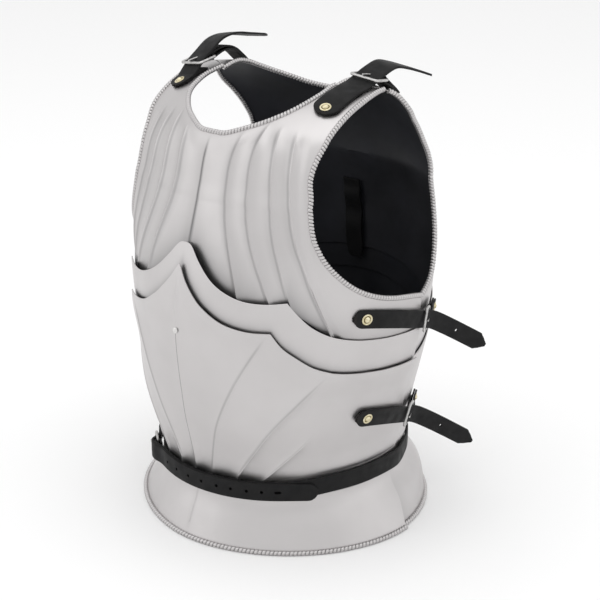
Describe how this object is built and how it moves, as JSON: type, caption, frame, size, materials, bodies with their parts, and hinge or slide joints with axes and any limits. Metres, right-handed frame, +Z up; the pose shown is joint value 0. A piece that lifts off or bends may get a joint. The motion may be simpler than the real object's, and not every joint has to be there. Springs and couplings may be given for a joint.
{
  "type": "steel breastplate",
  "caption": "Fluted steel breastplate and backplate with scalloped lames and flared skirts, joined by leather shoulder and side straps and a waist belt.",
  "frame": {"origin": "bottom centre of the bounding box, on the plane of the hem", "axes": "+Z up, -Y the way the wearer faces, +X the wearer's left"},
  "size_m": [0.4202, 0.3622, 0.5486],
  "materials": {
    "steel_plate": "satin polished steel, soft scratches, blackened inside",
    "leather": "near black strap leather with paler cut edges",
    "brass": "domed brass rivets on washers",
    "buckle_wire": "darkened steel wire",
    "steel_rivet": "small polished steel rivets"
  },
  "bodies": {
    "root": {"back_lame": "steel_plate", "back_placard": "steel_plate", "back_skirt": "steel_plate", "backplate": "steel_plate", "belt_buckle": "buckle_wire", "belt_strap": "leather", "breast_lame": "steel_plate", "breastplate": "steel_plate", "front_skirt": "steel_plate", "inner_strip": "leather", "inner_strip_rivet": "steel_rivet", "lower_side_left_buckle": "buckle_wire", "lower_side_left_chape": "leather", "lower_side_left_chape_rivet": "brass", "lower_side_left_strap": "leather", "lower_side_left_strap_rivet": "brass", "lower_side_right_buckle": "buckle_wire", "lower_side_right_chape": "leather", "lower_side_right_chape_rivet": "brass", "lower_side_right_strap": "leather", "lower_side_right_strap_rivet": "brass", "placard": "steel_plate", "ridge_rivet": "steel_rivet", "shoulder_left_buckle": "buckle_wire", "shoulder_left_chape": "leather", "shoulder_left_chape_rivet": "brass", "shoulder_left_strap": "leather", "shoulder_left_strap_rivet": "brass", "shoulder_right_buckle": "buckle_wire", "shoulder_right_chape": "leather", "shoulder_right_chape_rivet": "brass", "shoulder_right_strap": "leather", "shoulder_right_strap_rivet": "brass", "upper_side_left_buckle": "buckle_wire", "upper_side_left_chape": "leather", "upper_side_left_chape_rivet": "brass", "upper_side_left_strap": "leather", "upper_side_left_strap_rivet": "brass", "upper_side_right_buckle": "buckle_wire", "upper_side_right_chape": "leather", "upper_side_right_chape_rivet": "brass", "upper_side_right_strap": "leather", "upper_side_right_strap_rivet": "brass"}
  },
  "joints": []
}
